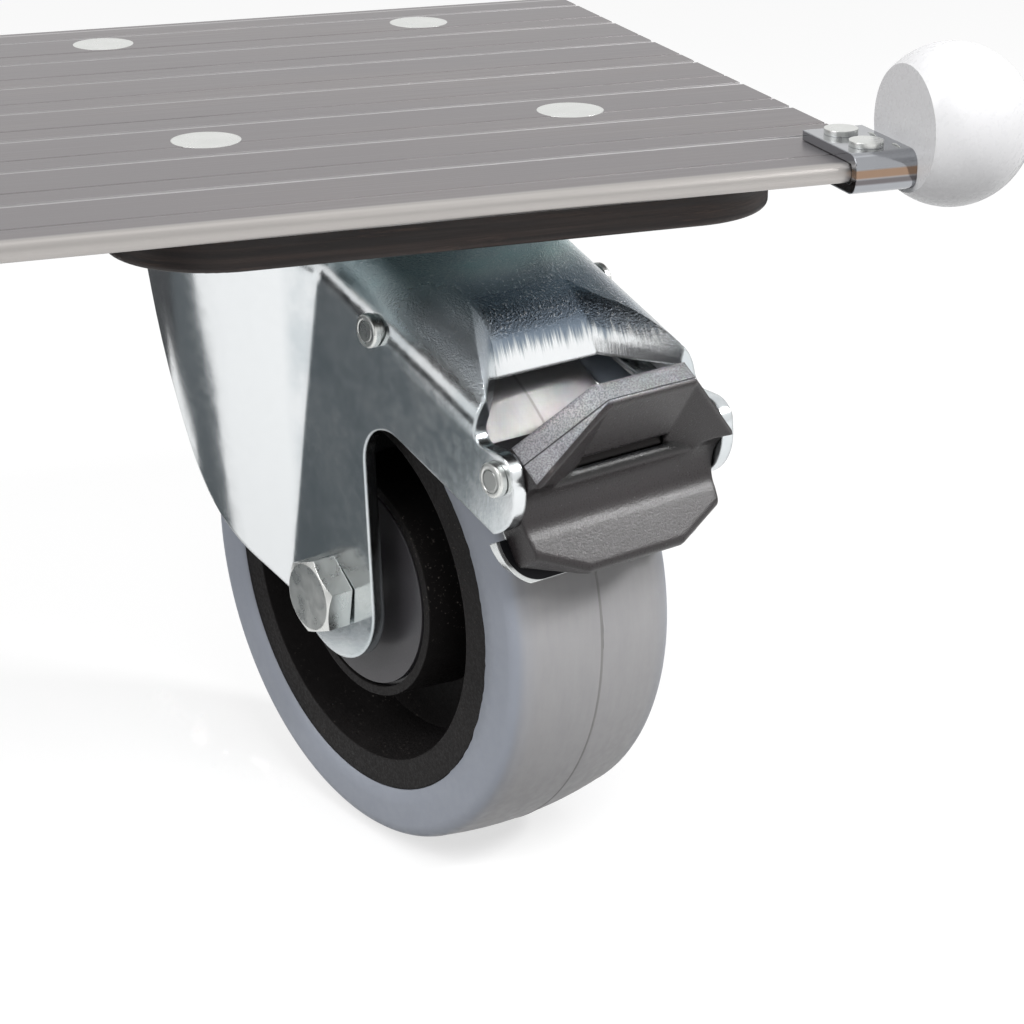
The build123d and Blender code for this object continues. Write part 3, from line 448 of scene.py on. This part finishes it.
def tyre_grey():
    """Grey rubber: blue-grey sides, warmer tread with scuffs and a dark seam, fine rings from the mould."""
    look = Look("tyre_grey", castor=True, specular=0.35)
    x, y, z = look.axes()
    radius = look.radius_from(x, z)
    side = look.mix(look.noise(60), (0.262, 0.282, 0.325), (0.300, 0.320, 0.366))
    tread = look.mix(look.noise(90, stretch=(1, 6, 1)), (0.285, 0.282, 0.290), (0.335, 0.330, 0.334))
    tone = look.mix(look.span(radius, *TREAD_START), side, tread)
    scuff = look.span(look.noise(35, detail=7, rough=0.7), 0.58, 0.75)
    tone = look.mix(look.times(scuff, 0.35), tone, (0.235, 0.225, 0.22))
    seam = look.near(y, 0.0, SEAM_LINE_HALF, SEAM_LINE_SOFT)
    seam = look.times(seam, look.span(radius, *SEAM_LINE_START, 0.0, 0.6))
    look.colour(look.mix(seam, tone, (0.15, 0.145, 0.14)))
    look.rough_grain(look.noise(500), 0.46, 0.62)
    rings = look.noise(260, detail=3, stretch=(0.001, 1, 0.001))
    look.bump(rings, 0.00006, 0.35)
    look.bump(look.noise(1800, detail=3), 0.00003, 0.4)
    return look


def rim_black():
    """Black cast rim: coarse moulded skin with pale dust in patches."""
    look = Look("rim_black", castor=True, specular=0.1)
    grain = look.noise(1300, detail=4, rough=0.65)
    dust = look.times(look.span(grain, 0.60, 0.70), look.span(look.noise(45), 0.45, 0.7))
    tone = look.mix(look.noise(70), (0.006, 0.0055, 0.0055), (0.016, 0.0145, 0.0145))
    look.colour(look.mix(dust, tone, (0.16, 0.145, 0.13)))
    look.rough_grain(grain, 0.42, 0.68)
    look.soften(0.0004)
    look.bump(grain, 0.00012, 0.8)
    look.bump(look.noise(260, detail=2), 0.0002, 0.3)
    return look


def cap_black():
    """Smoother black moulding with a few pale specks."""
    look = Look("cap_black", castor=True)
    grain = look.noise(2600, detail=2)
    speck = look.span(look.noise(900, detail=2), 0.70, 0.76, 0.0, 0.5)
    tone = look.mix(look.noise(80), (0.034, 0.032, 0.036), (0.052, 0.050, 0.055))
    look.colour(look.mix(speck, tone, (0.11, 0.105, 0.10)))
    look.rough_grain(grain, 0.30, 0.42)
    look.soften(0.0003)
    look.bump(grain, 0.00002, 0.4)
    return look


def pedal_black():
    """Black moulded pedal: fine spark grain, a wall painted paler as a painted highlight, the slot painted
    near black as painted shade, parting line round the rim.
    """
    look = Look("pedal_black", castor=True, specular=0.38)
    x, _, z = look.axes()
    grain = look.noise(2300, detail=3, rough=0.65)
    speck = look.span(look.noise(1500, detail=2), 0.71, 0.78, 0.0, 0.6)
    tone = look.mix(look.noise(65, detail=5), (0.0155, 0.0130, 0.0135), (0.0265, 0.0230, 0.0240))
    tone = look.mix(speck, tone, (0.20, 0.20, 0.21))

    # Wall: the faces that look up, and neither far outward nor far aside, painted paler in grain: a painted
    # highlight where light falls from above
    outward, aside, upward = look.facing()
    lit_wall = look.times(look.span(upward, 0.40, 0.50), look.span(outward, 0.64, 0.74, 1.0, 0.0))
    lit_wall = look.times(lit_wall, look.span(aside, 0.2, 0.4, 1.0, 0.0))
    highlight_grain = look.span(look.noise(3000, detail=2), *CLOUD_SPREAD)
    tone = look.mix(lit_wall, tone, look.mix(highlight_grain, (0.085, 0.085, 0.092), (0.21, 0.21, 0.228)))

    # Slot painted near black: painted shade in its recess
    slot = look.times(look.near(z, SLOT_Z, SLOT_HALF, SLOT_SOFT), look.span(x, *SLOT_END, 1.0, 0.0))
    tone = look.mix(look.times(slot, 0.9), tone, (0.002, 0.002, 0.002))
    from_rim = look.times(look.minus(x, PEDAL_RIM[0]), PEDAL_NORMAL[0])
    depth = look.plus(from_rim, look.times(look.minus(z, PEDAL_RIM[1]), PEDAL_NORMAL[1]))
    parting = look.near(depth, -PARTING_DEPTH, PARTING_HALF, PARTING_SOFT)
    look.colour(look.mix(parting, tone, (0.006, 0.006, 0.006)))
    look.rough_grain(grain, 0.26, 0.38)
    look.soften(0.0012)
    look.bump(grain, 0.00006, 0.7)
    look.bump(look.minus(1.0, parting), 0.00015, 0.8)
    return look


def seal_black():
    """Dull black rubber."""
    look = Look("seal_black")
    look.colour(look.mix(look.noise(200), (0.010, 0.010, 0.010), (0.022, 0.021, 0.021)))
    look.rough_grain(look.noise(1200), 0.5, 0.7)
    look.bump(look.noise(1800), 0.00004, 0.5)
    return look


def board_dark():
    """Dark coated board with its thin plies showing along the cut edge."""
    look = Look("board_dark", specular=0.3)
    _, _, z = look.axes()
    ply = look.noise(900, detail=2, stretch=(0.02, 0.02, 1))
    fibre = look.noise(500, detail=5, rough=0.7, stretch=(0.12, 0.12, 1.6))
    tone = look.mix(look.span(ply, *CLOUD_SPREAD), (0.012, 0.0085, 0.008), (0.034, 0.024, 0.021))
    tone = look.mix(look.span(fibre, 0.53, 0.72, 0.0, 0.7), tone, (0.085, 0.060, 0.051))
    under = look.span(z, *BOARD_UNDERSIDE, 1.0, 0.0)
    look.colour(look.mix(under, tone, (0.018, 0.016, 0.016)))
    look.rough_grain(fibre, 0.38, 0.58)
    look.soften(0.0004)
    look.bump(fibre, 0.00012, 0.5)
    return look


def deck_aluminium():
    """Grooved aluminium deck: brushed flats, with painted highlights on the groove walls, the fine grooves
    and the nose.
    """
    look = Look("deck_aluminium", metallic=1.0)
    _, y, _ = look.axes()
    brush = look.noise(1400, detail=5, rough=0.7, stretch=(0.012, 1, 0.2))
    tone = look.mix(look.span(brush, *GRAIN_SPREAD), (0.165, 0.151, 0.156), (0.232, 0.216, 0.222))
    cloud = look.noise(30, detail=4, stretch=(0.25, 1, 1))
    tone = look.mix(look.span(cloud, 0.4, 0.7, 0.0, 0.5), tone, (0.225, 0.203, 0.201))
    from_front = look.minus(y, DECK_FRONT)
    wrapped = look.math("WRAP", from_front, 0.0, GROOVE_PITCH)
    # Fine grooves painted pale: painted highlight lines
    fine = look.near(wrapped, FINE_GROOVE, FINE_GROOVE_HALF, FINE_GROOVE_SOFT)
    tone = look.mix(look.times(fine, 0.6), tone, (0.60, 0.59, 0.59))
    # Nose painted pale: a painted highlight along the front edge
    nose_highlight = look.span(y, *DECK_NOSE, 1.0, 0.0)
    tone = look.mix(nose_highlight, tone, (0.42, 0.40, 0.385))
    # Groove walls painted pale: painted highlight lines, the nose left out
    along = look.math("PINGPONG", from_front, GROOVE_PITCH / 2)
    groove = look.times(look.span(along, *GROOVE_EDGE, 1.0, 0.0), look.minus(1.0, nose_highlight))
    look.colour(look.mix(groove, tone, (0.82, 0.82, 0.82)))
    look.rough_grain(brush, 0.30, 0.44)
    look.soften(0.0003)
    look.bump(brush, 0.00002, 0.5)
    return look


def clip_chrome():
    """Bright clip with a painted dark reflection line and a painted warm reflection line along its fold."""
    look = Look("clip_chrome", metallic=1.0)
    _, _, z = look.axes()
    tone = look.mix(look.noise(120), (0.30, 0.31, 0.33), (0.38, 0.39, 0.41))
    # Dark line along the fold: a painted dark reflection
    dark = look.near(z, CLIP_DARK_Z, CLIP_DARK_HALF, CLIP_LINE_SOFT)
    tone = look.mix(dark, tone, (0.15, 0.14, 0.145))
    # Warm line along the fold: a painted warm reflection
    warm = look.near(z, CLIP_WARM_Z, CLIP_WARM_HALF, CLIP_LINE_SOFT)
    look.colour(look.mix(warm, tone, (0.28, 0.19, 0.135)))
    look.rough_grain(look.noise(600), 0.07, 0.15)
    look.soften(0.0004)
    look.bump(look.noise(180, detail=2), 0.00005, 0.3)
    return look


def bumper_grey():
    """Light grey moulded bumper with a satin skin."""
    look = Look("bumper_grey")
    look.colour(look.mix(look.noise(40, detail=2), (0.60, 0.60, 0.61), (0.65, 0.65, 0.66)))
    look.rough_grain(look.noise(800), 0.24, 0.36)
    look.bump(look.noise(900, detail=2), 0.00001, 0.25)
    return look


looks = {look.slot: look.material for look in (
    zinc_sheet(), zinc_fastener(), bearing_steel(), tyre_grey(), rim_black(), cap_black(), pedal_black(),
    seal_black(), board_dark(), deck_aluminium(), clip_chrome(), bumper_grey())}
plate_look = plate_steel().material
special = {
    "pedal_lever": shoe_steel().material,
    "top_plate": plate_look,
    "plate_nuts": plate_look,
    "plate_washers": plate_look,
    "brake_pin": zinc_fastener("zinc_brake_pin", BRAKE_PIN).material,
    "spring_pin": zinc_fastener("zinc_spring_pin", SPRING_PIN).material,
}
for name, node in nodes.items():
    slot_name = node.data.materials[0].name.split(".")[0]
    node.data.materials.clear()
    node.data.materials.append(special.get(name) or looks[slot_name])


def new_piece(name, mesh_maker, body, slot_name):
    """Mesh object built in the castor's frame, riding on a body with a record slot's finish."""
    made = bmesh.new()
    mesh_maker(made)
    bmesh.ops.recalc_face_normals(made, faces=made.faces)
    bmesh.ops.transform(made, matrix=TO_ROW, verts=made.verts)
    mesh = bpy.data.meshes.new(name)
    made.to_mesh(mesh)
    made.free()
    for face in mesh.polygons:
        face.use_smooth = True
    mesh.materials.append(looks[slot_name])
    piece = bpy.data.objects.new(name, mesh)
    bpy.context.scene.collection.objects.link(piece)
    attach(piece, body)
    return piece


def wheel_point(radius, y, angle):
    """Point at a radius and an angle round the axle, and at a place along it."""
    return (radius * math.cos(angle), y, radius * math.sin(angle))


def join_rings(made, rings):
    """Faces between each closed ring of vertices and the next."""
    for here, after in zip(rings, rings[1:]):
        for index, vertex in enumerate(here):
            follow = (index + 1) % len(here)
            made.faces.new((vertex, here[follow], after[follow], after[index]))


def tyre_outside():
    """Half of the tyre's outside as (radius, place along the axle), with the mould seam on the tread."""
    top = WHEEL_RADIUS - SEAM_HEIGHT
    flat = WHEEL_HALF - TYRE_SHOULDER
    bow = (flat * flat + TYRE_CROWN_DROP ** 2) / (2 * TYRE_CROWN_DROP)
    outside = [(WHEEL_RADIUS, 0.0)]
    for y in (SEAM_HALF, 2 * SEAM_HALF, *TREAD_PLACES, flat):
        outside.append((top - bow + math.sqrt(bow * bow - y * y), y))
    shoulder = top - TYRE_CROWN_DROP - TYRE_SHOULDER
    for step in range(1, SHOULDER_STEPS + 1):
        angle = math.radians(90 - 90 * step / SHOULDER_STEPS)
        outside.append((shoulder + TYRE_SHOULDER * math.sin(angle), flat + TYRE_SHOULDER * math.cos(angle)))
    outside.append((TYRE_BORE + TYRE_FACE_FOLD, WHEEL_HALF - TYRE_FACE_FALL / 2))
    return outside


def tyre_mesh(made):
    """Tyre turned about the axle; its inner edge against the rim is slightly ragged, as moulded."""
    outside = tyre_outside()
    face = WHEEL_HALF - TYRE_FACE_FALL
    inside = [(TYRE_BORE + TYRE_LIP_RISE, face), (TYRE_BORE, face - TYRE_LIP_DEPTH),
              (TYRE_BORE, TYRE_RIDGE_HALF), (TYRE_RIDGE, TYRE_RIDGE_HALF)]
    half = outside + inside
    loop = half + [(r, -y) for r, y in reversed(half[1:])]
    ragged = {len(outside), len(loop) - len(outside)}
    rings = []
    for step in range(TYRE_STEPS):
        angle = 2 * math.pi * step / TYRE_STEPS
        ring = []
        for index, (r, y) in enumerate(loop):
            if index in ragged:
                side = math.copysign(1.0, y)
                place = Vector((math.cos(angle) * RAGGED_SCALE, math.sin(angle) * RAGGED_SCALE, side))
                fine = FINE_RAGGED_SHARE * noise.noise(place * FINE_RAGGED_SCALE)
                r += RAGGED_DEPTH * (noise.noise(place) + fine)
            ring.append(made.verts.new(wheel_point(r, y, angle)))
        rings.append(ring)
    join_rings(made, rings + rings[:1])


def flash_mesh(made):
    """Sliver of moulding flash lying along the tread's seam."""
    base = WHEEL_RADIUS - SEAM_HEIGHT - FLASH_SINK
    rings = []
    for step in range(FLASH_STEPS + 1):
        along = -1 + 2 * step / FLASH_STEPS
        wave = 1 - FLASH_WAVE + FLASH_WAVE * math.sin(FLASH_WAVES * along)
        swell = math.sqrt(max(0.0, 1 - along * along)) * wave
        angle = math.radians(FLASH_DEG) + along * FLASH_HALF_LENGTH / WHEEL_RADIUS
        ring = []
        for turn in range(FLASH_SIDES):
            lean = 2 * math.pi * turn / FLASH_SIDES
            r = base + FLASH_HEIGHT * swell * math.sin(lean)
            y = FLASH_OFFSET + FLASH_HALF_WIDTH * swell * math.cos(lean)
            ring.append(made.verts.new(wheel_point(r, y, angle)))
        rings.append(ring)
    join_rings(made, rings)
    bmesh.ops.remove_doubles(made, verts=made.verts, dist=SAME_POINT)


tyre_skin = new_piece("tyre_skin", tyre_mesh, "wheel", "tyre_grey")
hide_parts("tyre")
new_piece("tread_flash", flash_mesh, "wheel", "tyre_grey")


def stage_plane(name, corners, material):
    mesh = bpy.data.meshes.new(name)
    mesh.from_pydata(corners, [], [tuple(range(len(corners)))])
    mesh.materials.append(material)
    plane = bpy.data.objects.new(name, mesh)
    bpy.context.scene.collection.objects.link(plane)
    return plane


def floor_material():
    """Pale floor that keeps a soft shadow and turns white away from the object."""
    material = bpy.data.materials.new("floor_pale")
    floor = ShaderTree(material)
    floor.tree.nodes.clear()
    lit = floor.node("BsdfDiffuse")
    floor.feed(lit.inputs["Color"], FLOOR_TONE)
    distance = floor.node("VectorMath", operation="LENGTH")
    floor.feed(distance.inputs[0], floor.node("NewGeometry").outputs["Position"])
    rise = floor.span(distance.outputs["Value"], *GLOW_REACH, *FLOOR_GLOW, curve="LINEAR")
    glow = floor.node("Emission")
    floor.feed(glow.inputs["Strength"], floor.times(floor.seen_directly(), rise))
    both = floor.node("AddShader")
    floor.feed(both.inputs[0], lit.outputs[0])
    floor.feed(both.inputs[1], glow.outputs[0])
    floor.feed(floor.node("OutputMaterial").inputs["Surface"], both.outputs[0])
    return material


def flat_outline(outline, height):
    return [(x, y, height) for x, y in outline]


def upright_outline(ends, low, high):
    return flat_outline(ends, low) + flat_outline(reversed(ends), high)


def dark_card(name, corners, tone=DARK_CARD):
    """Studio card that only reflections see."""
    material = bpy.data.materials.new(name + "_paper")
    material.use_nodes = True
    shader = material.node_tree.nodes["Principled BSDF"]
    shader.inputs["Base Color"].default_value = tone
    shader.inputs["Roughness"].default_value = CARD_ROUGHNESS
    card = stage_plane(name, corners, material)
    card.visible_camera = False
    card.visible_diffuse = False
    card.visible_shadow = False
    card.visible_transmission = False


stage_plane("floor", flat_outline(FLOOR_CORNERS, FLOOR_Z), floor_material())
dark_card("card_near", flat_outline(NEAR_CARD, CARD_Z), NEAR_CARD_TONE)
dark_card("card_far", flat_outline(FAR_CARD, CARD_Z))
dark_card("card_left", upright_outline(LEFT_CARD, FLOOR_Z, LEFT_CARD_TOP))
dark_card("card_west", flat_outline(WEST_CARD, CARD_Z))
dark_card("card_east", flat_outline(EAST_CARD, CARD_Z))
dark_card("card_camera", upright_outline(CAMERA_CARD, *CAMERA_CARD_HEIGHT))

world = bpy.data.worlds.new("studio")
bpy.context.scene.world = world
sky = ShaderTree(world)
background = sky.tree.nodes["Background"]
background.inputs["Color"].default_value = (1, 1, 1, 1)
brightness = sky.span(sky.seen_directly(), 0.0, 1.0, AMBIENT, 1.0, curve="LINEAR")
sky.feed(background.inputs["Strength"], brightness)


def area_light(name, place, target, size, power):
    data = bpy.data.lights.new(name, "AREA")
    data.shape = "RECTANGLE"
    data.size, data.size_y = size
    data.energy = power
    lamp = bpy.data.objects.new(name, data)
    bpy.context.scene.collection.objects.link(lamp)
    lamp.location = place
    lamp.rotation_euler = (Vector(target) - Vector(place)).to_track_quat("-Z", "Y").to_euler()
    return lamp


area_light("key", (-0.90, -0.28, 0.76), MIDDLE, size=(0.8, 0.8), power=9.5)
front_lamp = area_light("front", (0.07, -0.86, 0.80), MIDDLE, size=(0.6, 0.45), power=9.5)
front_lamp.visible_glossy = False
area_light("fill", (0.885, -0.46, 0.62), MIDDLE, size=(0.18, 0.18), power=7.0)
snoot = area_light("snoot", (0.10, -0.80, 0.70), NOTCH, size=(0.05, 0.05), power=0.013)
snoot.data.spread = SNOOT_SPREAD
snoot.visible_glossy = False
area_light("top", (0.15, 0.1, 1.1), MIDDLE, size=(0.9, 0.9), power=1.0)

camera_data = bpy.data.cameras.new("camera")
camera_data.lens = CAMERA_LENS
camera_data.sensor_width = SENSOR_WIDTH
camera = bpy.data.objects.new("camera", camera_data)
bpy.context.scene.collection.objects.link(camera)
camera.location = CAMERA_PLACE
camera.rotation_euler = (math.radians(90 - CAMERA_PITCH), 0, math.radians(-CAMERA_YAW))
bpy.context.scene.camera = camera
bpy.context.scene.view_settings.view_transform = "Standard"
